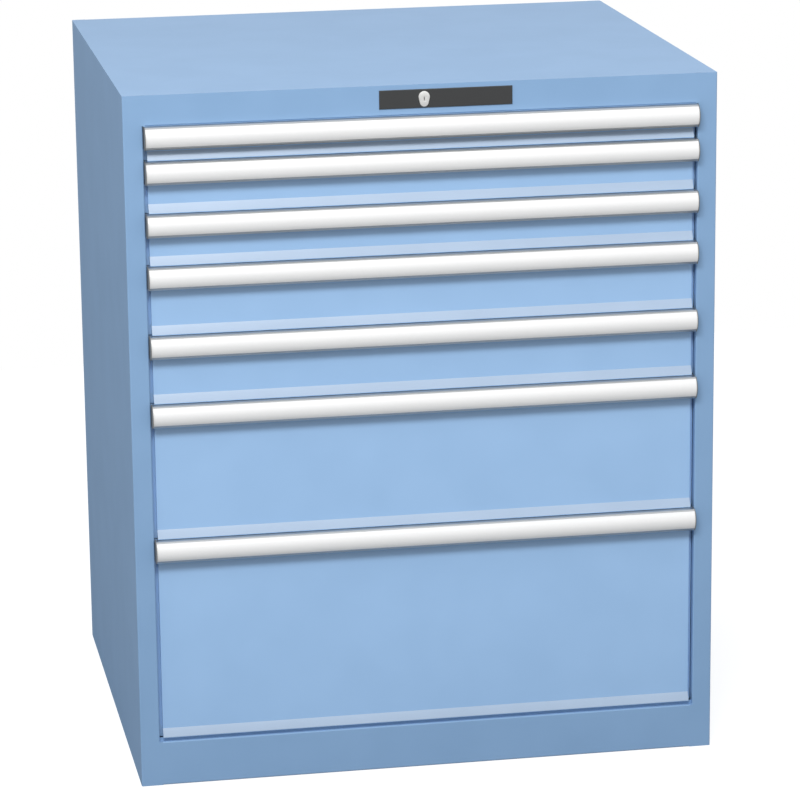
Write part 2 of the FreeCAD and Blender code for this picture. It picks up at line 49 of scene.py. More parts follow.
def linearColour(hexCode, alpha=1.0):
    channels = [int(hexCode[i:i + 2], 16) / 255 for i in (1, 3, 5)]
    linear = [c / 12.92 if c <= 0.04045 else ((c + 0.055) / 1.055) ** 2.4 for c in channels]
    return (*linear, alpha)


def addNode(tree, kind, settings=None, links=None):
    # settings are the node's attributes or its inputs by name or number, links feed inputs from sockets
    node = tree.nodes.new(kind)
    for name, value in (settings or {}).items():
        if isinstance(name, str) and name not in node.inputs:
            setattr(node, name, value)
        else:
            node.inputs[name].default_value = value
    for name, socket in (links or {}).items():
        tree.links.new(socket, node.inputs[name])
    return node


def newMaterial(name):
    material = bpy.data.materials.new(name)
    material.use_nodes = True
    tree = material.node_tree
    tree.nodes.clear()
    output = tree.nodes.new("ShaderNodeOutputMaterial")
    return material, tree, output


def millimetres(tree, scale=(1, 1, 1)):
    # Object coordinates in millimetres, stretched by scale
    place = addNode(tree, "ShaderNodeTexCoord")
    return addNode(
        tree, "ShaderNodeMapping",
        {"Scale": tuple(1000 * s for s in scale)},
        {"Vector": place.outputs["Object"]},
    ).outputs["Vector"]


# Materials: a colour Mix node has its two colours at inputs 6 and 7 and the mixed one at output 2
# The grain dictionaries give pattern sizes in millimetres

coatGrain = {"drift": 90, "peel": 2.2, "powder": 0.5}
powderShare = 0.25  # how strongly the fine powder grain shows beside the orange peel


def powderCoat(name, colour, deep, roughness, sheen):
    # polyester powder baked on steel: an even satin skin with a faint orange peel about 2 mm across
    material, tree, output = newMaterial(name)
    place = millimetres(tree)
    drift = addNode(
        tree, "ShaderNodeTexNoise", {"Scale": 1 / coatGrain["drift"], "Detail": 2.0}, {"Vector": place},
    )
    tone = addNode(
        tree, "ShaderNodeMapRange", {"From Min": 0.35, "From Max": 0.65}, {"Value": drift.outputs["Fac"]},
    )
    mix = addNode(
        tree, "ShaderNodeMix", {"data_type": "RGBA", 6: linearColour(colour), 7: linearColour(deep)},
        {"Factor": tone.outputs["Result"]},
    )
    peel = addNode(
        tree, "ShaderNodeTexNoise", {"Scale": 1 / coatGrain["peel"], "Detail": 1.0}, {"Vector": place},
    )
    powder = addNode(
        tree, "ShaderNodeTexNoise", {"Scale": 1 / coatGrain["powder"], "Detail": 0.0}, {"Vector": place},
    )
    height = addNode(
        tree, "ShaderNodeMath", {"operation": "MULTIPLY_ADD", 1: powderShare},
        {0: powder.outputs["Fac"], 2: peel.outputs["Fac"]},
    )
    bump = addNode(
        tree, "ShaderNodeBump", {"Strength": 0.05, "Distance": 0.0003}, {"Height": height.outputs[0]},
    )
    gloss = addNode(
        tree, "ShaderNodeMapRange",
        {"To Min": roughness - 0.03, "To Max": roughness + 0.03},
        {"Value": peel.outputs["Fac"]},
    )
    shader = addNode(
        tree, "ShaderNodeBsdfPrincipled", {"IOR": 1.5, "Specular IOR Level": sheen},
        {
            "Base Color": mix.outputs[2],
            "Roughness": gloss.outputs["Result"],
            "Normal": bump.outputs["Normal"],
        },
    )
    tree.links.new(shader.outputs["BSDF"], output.inputs["Surface"])
    return material


def drawnMetal(name, colour, deep, roughness, stretch, lineWidth, metallic=1.0):
    # drawn or brushed along one axis: fine lines along it, lineWidth in millimetres
    material, tree, output = newMaterial(name)
    place = millimetres(tree, stretch)
    lines = addNode(tree, "ShaderNodeTexNoise", {"Scale": 1 / lineWidth, "Detail": 3.0}, {"Vector": place})
    mix = addNode(
        tree, "ShaderNodeMix", {"data_type": "RGBA", 6: linearColour(colour), 7: linearColour(deep)},
        {"Factor": lines.outputs["Fac"]},
    )
    gloss = addNode(
        tree, "ShaderNodeMapRange",
        {"To Min": roughness - 0.06, "To Max": roughness + 0.06},
        {"Value": lines.outputs["Fac"]},
    )
    bump = addNode(
        tree, "ShaderNodeBump", {"Strength": 0.08, "Distance": 0.0001}, {"Height": lines.outputs["Fac"]},
    )
    shader = addNode(
        tree, "ShaderNodeBsdfPrincipled", {"Metallic": metallic},
        {
            "Base Color": mix.outputs[2],
            "Roughness": gloss.outputs["Result"],
            "Normal": bump.outputs["Normal"],
        },
    )
    tree.links.new(shader.outputs["BSDF"], output.inputs["Surface"])
    return material


zincGrain = {"spangle": 8, "warp": 5, "shift": 3}


def galvanisedSheet(name, colour, deep):
    # hot-dip zinc: flat spangles 6 to 10 mm across with crooked edges, each a slightly different grey
    material, tree, output = newMaterial(name)
    place = millimetres(tree)
    warp = addNode(
        tree, "ShaderNodeTexNoise", {"Scale": 1 / zincGrain["warp"], "Detail": 2.0}, {"Vector": place},
    )
    bent = addNode(
        tree, "ShaderNodeVectorMath", {"operation": "MULTIPLY_ADD", 1: (zincGrain["shift"],) * 3},
        {0: warp.outputs["Color"], 2: place},
    )
    cells = addNode(
        tree, "ShaderNodeTexVoronoi", {"Scale": 1 / zincGrain["spangle"]}, {"Vector": bent.outputs["Vector"]},
    )
    split = addNode(tree, "ShaderNodeSeparateColor", None, {"Color": cells.outputs["Color"]})
    mix = addNode(
        tree, "ShaderNodeMix", {"data_type": "RGBA", 6: linearColour(colour), 7: linearColour(deep)},
        {"Factor": split.outputs["Red"]},
    )
    gloss = addNode(
        tree, "ShaderNodeMapRange", {"To Min": 0.32, "To Max": 0.5}, {"Value": split.outputs["Green"]},
    )
    shader = addNode(
        tree, "ShaderNodeBsdfPrincipled", {"Metallic": 0.85},
        {"Base Color": mix.outputs[2], "Roughness": gloss.outputs["Result"]},
    )
    tree.links.new(shader.outputs["BSDF"], output.inputs["Surface"])
    return material


def mouldedPlastic(name, colour, deep, roughness, sparkSize, depth):
    # injection moulded in a spark-eroded tool: an even grain, sparkSize in millimetres
    material, tree, output = newMaterial(name)
    place = millimetres(tree)
    spark = addNode(tree, "ShaderNodeTexNoise", {"Scale": 1 / sparkSize, "Detail": 2.0}, {"Vector": place})
    mix = addNode(
        tree, "ShaderNodeMix", {"data_type": "RGBA", 6: linearColour(colour), 7: linearColour(deep)},
        {"Factor": spark.outputs["Fac"]},
    )
    bump = addNode(
        tree, "ShaderNodeBump", {"Strength": depth, "Distance": 0.0002}, {"Height": spark.outputs["Fac"]},
    )
    shader = addNode(
        tree, "ShaderNodeBsdfPrincipled", {"Roughness": roughness, "IOR": 1.5},
        {"Base Color": mix.outputs[2], "Normal": bump.outputs["Normal"]},
    )
    tree.links.new(shader.outputs["BSDF"], output.inputs["Surface"])
    return material


cardGrain = {"fibre": 1.2, "wave": 40}
fibreStretch = (0.3, 1, 1)  # the fibres lie along the strip


def coveredCard(name, colour, deep):
    # white card under a clear PVC strip: paper fibre in the colour, a glossy coat above
    material, tree, output = newMaterial(name)
    place = millimetres(tree, fibreStretch)
    fibre = addNode(
        tree, "ShaderNodeTexNoise", {"Scale": 1 / cardGrain["fibre"], "Detail": 3.0}, {"Vector": place},
    )
    mix = addNode(
        tree, "ShaderNodeMix", {"data_type": "RGBA", 6: linearColour(colour), 7: linearColour(deep)},
        {"Factor": fibre.outputs["Fac"]},
    )
    wave = addNode(
        tree, "ShaderNodeTexNoise", {"Scale": 1 / cardGrain["wave"], "Detail": 1.0}, {"Vector": place},
    )
    bump = addNode(
        tree, "ShaderNodeBump", {"Strength": 0.1, "Distance": 0.0004}, {"Height": wave.outputs["Fac"]},
    )
    shader = addNode(
        tree, "ShaderNodeBsdfPrincipled",
        {"Roughness": 0.5, "IOR": 1.5, "Coat Weight": 0.6, "Coat Roughness": 0.22, "Coat IOR": 1.52},
        {"Base Color": mix.outputs[2], "Coat Normal": bump.outputs["Normal"]},
    )
    tree.links.new(shader.outputs["BSDF"], output.inputs["Surface"])
    return material


finishes = {
    "front": powderCoat("PolyesterPowderCoatFronts", "#A2C8F1", "#9FC5EE", 0.36, 0.6),
    # the lips are the fronts' own paint: their paler, greyer blue is a painted highlight, the whitish sheen
    # of light from above on the upward-sloping lip
    "lip": powderCoat("PolyesterPowderCoatLipsPaintedHighlight", "#ADC2DB", "#AABFD8", 0.36, 0.6),
    "housing": powderCoat("PolyesterPowderCoatHousing", "#8DB1D8", "#8AAED5", 0.50, 0.35),
    "tray": powderCoat("PolyesterPowderCoatTrays", "#C6CBD0", "#C2C7CC", 0.45, 0.5),
    "handle": drawnMetal("AnodisedAluminiumExtrusion", "#C3C5C7", "#B6B8BA", 0.40, (0.02, 1, 1), 0.35),
    "zincPlate": drawnMetal("ZincPlatedSteelBar", "#B5B9BB", "#A5A9AC", 0.38, (1, 0.05, 1), 0.4),
    "nickel": drawnMetal("SatinNickelPlatedZinc", "#F4F4F2", "#EEEEEC", 0.42, (1, 1, 1), 1.5, 0.5),
    "galvanised": galvanisedSheet("HotDipGalvanisedSheet", "#B4B9BC", "#9CA2A6"),
    "cap": mouldedPlastic("MouldedAbsEndCap", "#82817F", "#7B7A77", 0.5, 0.8, 0.2),
    "lockCover": mouldedPlastic("MouldedAbsLockCover", "#3E3F40", "#393A3B", 0.42, 0.7, 0.15),
    "roller": mouldedPlastic("MouldedPolyamideRoller", "#3A3B3D", "#333436", 0.38, 0.9, 0.12),
    "label": coveredCard("WhiteCardUnderClearPvc", "#F8F8F8", "#F1F1F1"),
}
print("materials made,", len(finishes))


# CAD nodes that keep their shape get their finish

nodeFinishes = {
    "right_side_panel": "housing", "left_side_panel": "housing", "rear_panel": "housing",
    "top_cover": "housing", "top_rail": "housing", "bottom_rail": "housing", "base_pan": "housing",
    "front_uprights": "galvanised", "rear_uprights": "galvanised", "runner_rails": "galvanised",
    "lock_cover": "lockCover", "lock_cylinder": "nickel",
    "bar_guides": "galvanised", "rod_guides": "galvanised", "lock_rod": "zincPlate",
    "locking_bar": "zincPlate", "lock_catches": "zincPlate",
}
for n in range(1, drawerCount + 1):
    nodeFinishes["drawer_%d_tray" % n] = "tray"

for node, finish in nodeFinishes.items():
    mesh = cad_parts[node].data
    mesh.materials.clear()
    mesh.materials.append(finishes[finish])
print("CAD nodes finished,", len(nodeFinishes))


# Ways to make a piece, used by all that follow

sharpAngle = 28  # degrees between two faces from which their edge stays sharp


def finishPiece(name, mesh, body, material, nodes=()):
    # material is None where the mesh has its own
    if material:
        mesh.materials.append(finishes[material])
    piece = bpy.data.objects.new(name, mesh)
    bpy.context.scene.collection.objects.link(piece)
    for face in mesh.polygons:
        face.use_smooth = True
    mesh.set_sharp_from_angle(angle=math.radians(sharpAngle))
    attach(piece, body)
    if nodes:
        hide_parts(*nodes)


def joinRings(bm, near, far):
    # two closed rings with the same number of points, joined by a band of faces
    for i in range(len(near)):
        j = (i + 1) % len(near)
        bm.faces.new((near[i], near[j], far[j], far[i]))


def outwardMesh(bm, name):
    bmesh.ops.recalc_face_normals(bm, faces=bm.faces)
    mesh = bpy.data.meshes.new(name)
    bm.to_mesh(mesh)
    bm.free()
    return mesh


def extrudedMesh(name, profiles):
    # each profile is a closed list of (y, z) points in metres and the two ends of its length along x
    bm = bmesh.new()
    for outline, x0, x1 in profiles:
        near = [bm.verts.new((x0, y, z)) for y, z in outline]
        far = [bm.verts.new((x1, y, z)) for y, z in outline]
        joinRings(bm, near, far)
        bm.faces.new(near)
        bm.faces.new(far[::-1])
    return outwardMesh(bm, name)


def arcPoints(centreY, centreZ, radius, start, end, steps):
    # degrees from the point that faces the front, upwards
    points = []
    for i in range(steps + 1):
        turn = math.radians(start + (end - start) * i / steps)
        points.append((centreY - radius * math.cos(turn), centreZ + radius * math.sin(turn)))
    return points


def barSection(y0, y1, z0, z1):
    return [(y0, z0), (y0, z1), (y1, z1), (y1, z0)]


# Handles with their label strips and end caps, angles in degrees about the middle of the round face

handleSize = {
    "wall": 0.003, "flange": 0.002, "flangeDrop": 0.016, "radius": 0.020, "edgeAngle": 53.13,
    "labelDepth": 0.0012, "labelTop": 44.0, "labelLow": -37.0, "labelGap": 0.0001, "labelEase": 0.3,
    "capCover": 0.0009, "steps": 28, "edgeSteps": 4,
}


def handlePieces(n):
    # an extruded grip with a shallow seat in its face, where the label strip lies
    body = "drawer_%d" % n
    low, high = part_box(body + "_handle")
    size = handleSize
    radius, edge, top = size["radius"], size["edgeAngle"], high[2]
    middleY, middleZ = low[1] + radius, (low[2] + high[2]) / 2
    panelY = high[1]
    inner = radius - size["wall"]
    innerTop = math.degrees(math.asin((top - size["flange"] - middleZ) / inner))
    seat = radius - size["labelDepth"]
    outline = arcPoints(middleY, middleZ, radius, edge, size["labelTop"], size["edgeSteps"])
    outline += arcPoints(middleY, middleZ, seat, size["labelTop"], size["labelLow"], size["steps"])
    outline += arcPoints(middleY, middleZ, radius, size["labelLow"], -edge, size["edgeSteps"])
    outline += arcPoints(middleY, middleZ, inner, -edge, innerTop, size["steps"])
    outline += [
        (panelY - size["flange"], top - size["flange"]),
        (panelY - size["flange"], top - size["flangeDrop"]),
        (panelY, top - size["flangeDrop"]),
        (panelY, top),
    ]
    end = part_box(body + "_end_caps")[1][0] - size["capCover"]
    mesh = extrudedMesh("gripHandle%d" % n, [(outline, -end, end)])
    finishPiece("gripHandle%d" % n, mesh, body, "handle", [body + "_handle"])
    first, last = size["labelTop"] - size["labelEase"], size["labelLow"] + size["labelEase"]
    strip = arcPoints(middleY, middleZ, radius - size["labelGap"], first, last, size["steps"])
    strip += arcPoints(middleY, middleZ, seat, last, first, size["steps"])
    mesh = extrudedMesh("labelStrip%d" % n, [(strip, -end, end)])
    finishPiece("labelStrip%d" % n, mesh, body, "label", [body + "_label_strip"])


capSize = {"plug": 0.0010, "proud": 0.0001, "rounding": 0.0004, "steps": 20}


def endCapPieces(n):
    # moulded caps that close both ends of the handle and stand just proud of it
    body = "drawer_%d" % n
    low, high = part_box(body + "_end_caps")
    handleLow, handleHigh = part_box(body + "_handle")
    size, grip = capSize, handleSize
    middleY, middleZ = low[1] + grip["radius"], (handleLow[2] + handleHigh[2]) / 2
    backY = handleHigh[1] - size["proud"]
    rings = []
    for reach, inset in ((size["plug"], 0.0), (size["rounding"], 0.0), (0.0, size["rounding"])):
        radius = grip["radius"] + size["proud"] - inset
        ring = arcPoints(middleY, middleZ, radius, grip["edgeAngle"], -grip["edgeAngle"], size["steps"])
        ring += [(backY, ring[-1][1]), (backY, ring[0][1])]
        rings.append((reach, ring))
    bm = bmesh.new()
    for side in (-1, 1):
        rows = []
        for reach, ring in rings:
            x = side * (high[0] - reach)
            rows.append([bm.verts.new((x, y, z)) for y, z in ring])
        for near, far in zip(rows, rows[1:]):
            joinRings(bm, near, far)
        bm.faces.new(rows[0])
        bm.faces.new(rows[-1][::-1])
    mesh = outwardMesh(bm, "gripEndCaps%d" % n)
    finishPiece("gripEndCaps%d" % n, mesh, body, "cap", [body + "_end_caps"])


for n in range(1, drawerCount + 1):
    handlePieces(n)
    endCapPieces(n)
print("handles, label strips and end caps made")


# Drawer fronts

def bentSheet(points, sheet, radius, steps=4):
    # points (y, z) run along the visible face and the sheet lies on their right; each inner point is a bend
    face, back = [points[0]], []
    corners = [Vector(p) for p in points]
    runs = [(b - a).normalized() for a, b in zip(corners, corners[1:])]
    rights = [Vector((d.y, -d.x)) for d in runs]
    back.append(tuple(corners[0] + rights[0] * sheet))
    for i in range(1, len(corners) - 1):
        turn = runs[i - 1].x * runs[i].y - runs[i - 1].y * runs[i].x
        angle = runs[i - 1].angle(runs[i])
        outer = radius if turn > 0 else radius + sheet
        side = -1 if turn > 0 else 1
        start = corners[i] - runs[i - 1] * outer * math.tan(angle / 2)
        centre = start + rights[i - 1] * side * outer
        for k in range(steps + 1):
            spoke = Matrix.Rotation(-side * angle * k / steps, 2) @ (-rights[i - 1] * side)
            face.append(tuple(centre + spoke * outer))
            back.append(tuple(centre + spoke * (outer - side * sheet)))
    face.append(points[-1])
    back.append(tuple(corners[-1] + rights[-1] * sheet))
    return face + back[::-1]


frontSize = {
    "sheet": 0.0012, "bend": 0.0003, "topFlange": 0.014, "lowGap": 0.002,
    "lipTop": 0.013, "lipLow": -0.0007, "lipReach": 0.007, "lipReturn": 0.009,
    "sideFlange": 0.0045, "sideFlangeDepth": 0.0065,
    # faces of a lip that look further forwards and further up than this get the paler colour of the painted
    # highlight
    "lipHighlightFacing": (-0.5, 0.2),  # a lip's faces look further forwards and further up than this
}


def frontPiece(n):
    # the folded sheet: top flange, face, slanting grip lip and its return
    # cheeks close its ends, and side returns stand in the gaps beside it, behind the face
    body = "drawer_%d" % n
    low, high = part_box(body + "_front")
    size = frontSize
    sheet = size["sheet"]
    placeZ = low[2] - size["lowGap"]
    faceY = high[1] - size["topFlange"]
    lipTop, lipLow = placeZ + size["lipTop"], placeZ + size["lipLow"]
    noseY = faceY - size["lipReach"]
    points = [
        (noseY + size["lipReturn"], lipLow), (noseY, lipLow), (faceY, lipTop), (faceY, high[2]),
        (high[1], high[2]),
    ]
    profiles = [(bentSheet(points, sheet, size["bend"]), low[0], high[0])]
    cheek = barSection(faceY + sheet / 2, high[1], lipTop, high[2] - sheet)
    flangeY = faceY + size["sideFlangeDepth"]
    flange = barSection(flangeY, flangeY + sheet, lipLow, high[2])
    for side in (-1, 1):
        edge = side * high[0]
        inside = edge - side * sheet
        outside = edge + side * size["sideFlange"]
        profiles.append((cheek, *sorted((edge, inside))))
        profiles.append((flange, *sorted((inside, outside))))
    mesh = extrudedMesh("foldedFront%d" % n, profiles)
    finishPiece("foldedFront%d" % n, mesh, body, "front", [body + "_front"])
    # the lip's upward-sloping faces get the paler, greyer colour, a painted highlight of the light from above
    mesh.materials.append(finishes["lip"])
    forward, upward = size["lipHighlightFacing"]
    for face in mesh.polygons:
        if face.center.y < faceY and face.normal.y < forward and face.normal.z > upward:
            face.material_index = 1


for n in range(1, drawerCount + 1):
    frontPiece(n)
print("drawer fronts made")


# Lock

lockSize = {
    "topRadius": 0.0080, "tipRadius": 0.0062, "topRise": 0.0026, "drop": 0.0078, "thickness": 0.002,
    "rounding": 0.0007, "boreRadius": 0.00433, "barrelRadius": 0.006, "steps": 16, "edgeSteps": 3,
}


def shieldOutline(radiusTop, radiusTip):
    # pear outline about the lock's axis as (x, z), the same number of points for any radii
    rise, drop, steps = lockSize["topRise"], lockSize["drop"], lockSize["steps"]
    lean = math.asin((radiusTop - radiusTip) / drop)
    points = []
    for i in range(steps + 1):
        turn = -lean + (math.pi + 2 * lean) * i / steps
        points.append((radiusTop * math.cos(turn), rise + radiusTop * math.sin(turn)))
    for i in range(steps + 1):
        turn = math.pi + lean + (math.pi - 2 * lean) * i / steps
        points.append((radiusTip * math.cos(turn), rise - drop + radiusTip * math.sin(turn)))
    return points


def ringPoints(radius, like):
    # the points of like moved along their own direction to a circle about the axis
    return [tuple(Vector(p).normalized() * radius) for p in like]


def lockPiece():
    # the case: a pear-shaped escutcheon with a rounded edge and a round barrel behind it, bored through
    low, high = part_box("lock_case")
    plugLow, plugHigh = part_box("lock_cylinder")
    size = lockSize
    rounding, steps = size["rounding"], size["edgeSteps"]
    axisX = (plugLow[0] + plugHigh[0]) / 2
    axisZ = (plugLow[2] + plugHigh[2]) / 2
    frontPlane, backPlane = low[1], low[1] + size["thickness"]
    full = shieldOutline(size["topRadius"], size["tipRadius"])
    bore, barrel = ringPoints(size["boreRadius"], full), ringPoints(size["barrelRadius"], full)
    loops = [(bore, high[1]), (bore, frontPlane)]
    for i in range(steps + 1):
        turn = math.pi / 2 * i / steps
        inset = rounding * (1 - math.sin(turn))
        outline = shieldOutline(size["topRadius"] - inset, size["tipRadius"] - inset)
        loops.append((outline, frontPlane + rounding * (1 - math.cos(turn))))
    loops += [(full, backPlane), (barrel, backPlane), (barrel, high[1])]
    bm = bmesh.new()
    rows = [[bm.verts.new((axisX + x, y, axisZ + z)) for x, z in outline] for outline, y in loops]
    for near, far in zip(rows, rows[1:] + rows[:1]):
        joinRings(bm, near, far)
    mesh = outwardMesh(bm, "lockShield")
    finishPiece("lockShield", mesh, "cabinet", "nickel", ["lock_case"])


lockPiece()
print("lock shield made")


# Roller carriages

def stampTree():
    # turns the mesh's marked loose points into round parts that lie across the object, and keeps the rest
    tree = bpy.data.node_groups.new("roundPartsOnPoints", "GeometryNodeTree")
    tree.interface.new_socket("Geometry", in_out="INPUT", socket_type="NodeSocketGeometry")
    for name, kind in (
        ("Mark", "NodeSocketInt"), ("Radius", "NodeSocketFloat"), ("Width", "NodeSocketFloat"),
        ("Rounding", "NodeSocketFloat"), ("Sides", "NodeSocketInt"), ("Material", "NodeSocketMaterial"),
    ):
        tree.interface.new_socket(name, in_out="INPUT", socket_type=kind)
    tree.interface.new_socket("Geometry", in_out="OUTPUT", socket_type="NodeSocketGeometry")
    given = addNode(tree, "NodeGroupInput").outputs
    mark = addNode(tree, "GeometryNodeInputNamedAttribute", {"data_type": "INT", "Name": "mark"})
    chosen = addNode(
        tree, "FunctionNodeCompare", {"data_type": "INT", "operation": "EQUAL"},
        {2: mark.outputs[0], 3: given["Mark"]},
    ).outputs["Result"]
    inner = addNode(
        tree, "ShaderNodeMath", {"operation": "SUBTRACT"}, {0: given["Radius"], 1: given["Rounding"]},
    )
    body = addNode(
        tree, "GeometryNodeMeshCylinder", None,
        {"Vertices": given["Sides"], "Radius": given["Radius"], "Depth": given["Width"]},
    )
    # a second disc, narrower and thicker by the rounding, eases both edges
    crown = addNode(
        tree, "ShaderNodeMath", {"operation": "MULTIPLY_ADD", 1: 2.0},
        {0: given["Rounding"], 2: given["Width"]},
    )
    face = addNode(
        tree, "GeometryNodeMeshCylinder", None,
        {"Vertices": given["Sides"], "Radius": inner.outputs[0], "Depth": crown.outputs[0]},
    )
    whole = addNode(tree, "GeometryNodeJoinGeometry")
    tree.links.new(body.outputs["Mesh"], whole.inputs[0])
    tree.links.new(face.outputs["Mesh"], whole.inputs[0])
    parts = addNode(
        tree, "GeometryNodeInstanceOnPoints", {"Rotation": (0, math.pi / 2, 0)},
        {"Points": given["Geometry"], "Selection": chosen, "Instance": whole.outputs[0]},
    )
    real = addNode(tree, "GeometryNodeRealizeInstances", None, {"Geometry": parts.outputs[0]})
    coloured = addNode(
        tree, "GeometryNodeSetMaterial", None, {"Geometry": real.outputs[0], "Material": given["Material"]},
    )
    rest = addNode(
        tree, "GeometryNodeDeleteGeometry", {"domain": "POINT"},
        {"Geometry": given["Geometry"], "Selection": chosen},
    )
    joined = addNode(tree, "GeometryNodeJoinGeometry")
    tree.links.new(rest.outputs[0], joined.inputs[0])
    tree.links.new(coloured.outputs[0], joined.inputs[0])
    result = addNode(tree, "NodeGroupOutput")
    tree.links.new(joined.outputs[0], result.inputs[0])
    return tree


def addMarkedPoints(mesh, places, marks):
    start = len(mesh.vertices)
    mesh.vertices.add(len(places))
    for i, place in enumerate(places):
        mesh.vertices[start + i].co = place
    attribute = mesh.attributes.new("mark", "INT", "POINT")
    for i, mark in enumerate(marks):
        attribute.data[start + i].value = mark


def stamped(name, mesh, tree, kinds):
    # kinds is a list of input dictionaries, one modifier each; gives back the plain mesh
    holder = bpy.data.objects.new(name + "Maker", mesh)
    bpy.context.scene.collection.objects.link(holder)
    sockets = {s.name: s.identifier for s in tree.interface.items_tree if s.in_out == "INPUT"}
    for i, kind in enumerate(kinds):
        modifier = holder.modifiers.new("stamp%d" % i, "NODES")
        modifier.node_group = tree
        for inputName, value in kind.items():
            modifier[sockets[inputName]] = value
    graph = bpy.context.evaluated_depsgraph_get()
    result = bpy.data.meshes.new_from_object(holder.evaluated_get(graph), depsgraph=graph)
    result.name = name
    holder.modifiers.clear()
    bpy.data.objects.remove(holder)
    return result


carriageSize = {
    "barInner": 0.389, "barOuter": 0.392, "barHalfHeight": 0.010, "cornerRadius": 0.004, "cornerSteps": 5,
    "rollerRadius": 0.012, "innerRollerEnd": 0.377, "middleRollerY": 0.0035,
    "rounding": 0.0006, "rollerSides": 40,
    "pinRadius": 0.0035, "pinProud": 0.0007, "pinRounding": 0.0002, "pinSides": 20,
}
discTree = stampTree()


def carriagePiece(n):
    # flat bars with polyamide rollers on pins, inner ones for the drawer, outer ones for the cabinet
    body = "carriage_%d" % n
    low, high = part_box(body)
    size = carriageSize
    middleZ = (low[2] + high[2]) / 2
    barLow, barHigh = middleZ - size["barHalfHeight"], middleZ + size["barHalfHeight"]
    corner = size["cornerRadius"]
    outline = []
    for cornerY, cornerZ, start in (
        (low[1] + corner, barHigh - corner, 0), (high[1] - corner, barHigh - corner, 90),
        (high[1] - corner, barLow + corner, 180), (low[1] + corner, barLow + corner, 270),
    ):
        outline += arcPoints(cornerY, cornerZ, corner, start, start + 90, size["cornerSteps"])
    profiles = [(outline, *sorted((side * size["barInner"], side * size["barOuter"]))) for side in (-1, 1)]
    mesh = extrudedMesh("rollerCarriage%d" % n, profiles)
    frontY, rearY = low[1] + size["rollerRadius"], high[1] - size["rollerRadius"]
    innerWidth, outerWidth = size["barInner"] - size["innerRollerEnd"], high[0] - size["barOuter"]
    places, marks = [], []
    for side in (-1, 1):
        for y in (frontY, size["middleRollerY"]):
            places.append((side * (size["barInner"] - innerWidth / 2), y, middleZ))
            marks.append(1)
        for y in (size["middleRollerY"], rearY):
            places.append((side * (size["barOuter"] + outerWidth / 2), y, middleZ))
            marks.append(2)
    addMarkedPoints(mesh, places + places, marks + [mark + 2 for mark in marks])
    kinds = []
    for mark, width in ((1, innerWidth), (2, outerWidth)):
        kinds.append({
            "Mark": mark, "Radius": size["rollerRadius"], "Rounding": size["rounding"],
            "Width": width - 2 * size["rounding"] - 2 * size["pinProud"],
            "Sides": size["rollerSides"], "Material": finishes["roller"],
        })
        kinds.append({
            "Mark": mark + 2, "Radius": size["pinRadius"], "Rounding": size["pinRounding"],
            "Width": width - 2 * size["pinRounding"],
            "Sides": size["pinSides"], "Material": finishes["galvanised"],
        })
    mesh.materials.append(finishes["zincPlate"])
    result = stamped("rollerCarriage%d" % n, mesh, discTree, kinds)
    finishPiece("rollerCarriage%d" % n, result, body, None, [body])


for n in range(1, drawerCount + 1):
    carriagePiece(n)
print("roller carriages made")


# Welds and hems of the housing's face

weldSize = {
    "overlap": 0.0035, "depth": 0.0012, "proud": 0.00006, "hem": 0.0007,
    "returnDepth": 0.0065, "returnHeight": 0.005,
}


def frameWelds():
    size = weldSize
    profiles = []
    # the corners where rails meet stiles are welded, ground flush and painted over
    for rail in ("top_rail", "bottom_rail"):
        low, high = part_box(rail)
        weld = barSection(low[1] - size["proud"], low[1] + size["depth"], low[2], high[2])
        for edge in (low[0], high[0]):
            profiles.append((weld, edge - size["overlap"], edge + size["overlap"]))
    # the top rail's lower hem
    low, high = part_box("top_rail")
    hem = barSection(low[1] - size["proud"], low[1] + size["depth"], low[2] - size["hem"], low[2])
    profiles.append((hem, low[0], high[0]))
    # the bottom rail's return, set back in the gap under the lowest drawer
    low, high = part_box("bottom_rail")
    returnY = low[1] + size["returnDepth"]
    bottomReturn = barSection(returnY, returnY + size["depth"], high[2], high[2] + size["returnHeight"])
    profiles.append((bottomReturn, low[0], high[0]))
    mesh = extrudedMesh("groundWelds", profiles)
    finishPiece("groundWelds", mesh, "cabinet", "housing")


frameWelds()
print("frame welds made")


# Floor, light and camera

floorPlan = {"half": 2.2, "below": 0.0005, "colour": "#8C8E90", "glow": 0.72, "share": 0.50}


def stageFloor():
    plan = floorPlan
    bm = bmesh.new()
    bmesh.ops.create_grid(bm, x_segments=2, y_segments=2, size=plan["half"])
    mesh = bpy.data.meshes.new("studioFloor")
    bm.to_mesh(mesh)
    bm.free()
    floor = bpy.data.objects.new("studioFloor", mesh)
    floor.location = (0, 0, -plan["below"])
    bpy.context.scene.collection.objects.link(floor)
    material, tree, output = newMaterial("PaleStudioFloor")
    # the camera sees the lit floor over a white ground, so the shadow stays and the rest is white
    grey = (plan["share"], plan["share"], plan["share"], 1)
    lit = addNode(tree, "ShaderNodeBsdfDiffuse", {"Color": linearColour(plan["colour"])})
    seen = addNode(tree, "ShaderNodeBsdfDiffuse", {"Color": grey})
    ground = addNode(tree, "ShaderNodeEmission", {"Color": (1, 1, 1, 1), "Strength": plan["glow"]})
    both = addNode(tree, "ShaderNodeAddShader", None, {0: seen.outputs[0], 1: ground.outputs[0]})
    path = addNode(tree, "ShaderNodeLightPath")
    mix = addNode(
        tree, "ShaderNodeMixShader", None,
        {"Fac": path.outputs["Is Camera Ray"], 1: lit.outputs[0], 2: both.outputs[0]},
    )
    tree.links.new(mix.outputs[0], output.inputs["Surface"])
    mesh.materials.append(material)


lightPlan = {
    "ambient": (0.36, 0.76),  # from the darkest to the brightest side of the room
    "brightSide": (-0.80, -0.30, 0.50),
    # heights in the room and what gloss sees there
    "glossy": ((-0.12, 0.15), (0.05, 1.0), (0.45, 1.0), (0.66, 1.5), (0.85, 1.0)),
    "key": {"towards": (-0.200, -0.690, 0.695), "distance": 5.0, "size": (2.5, 1.1), "power": 134},
    "aim": (0.0, -0.2, 0.42),
}


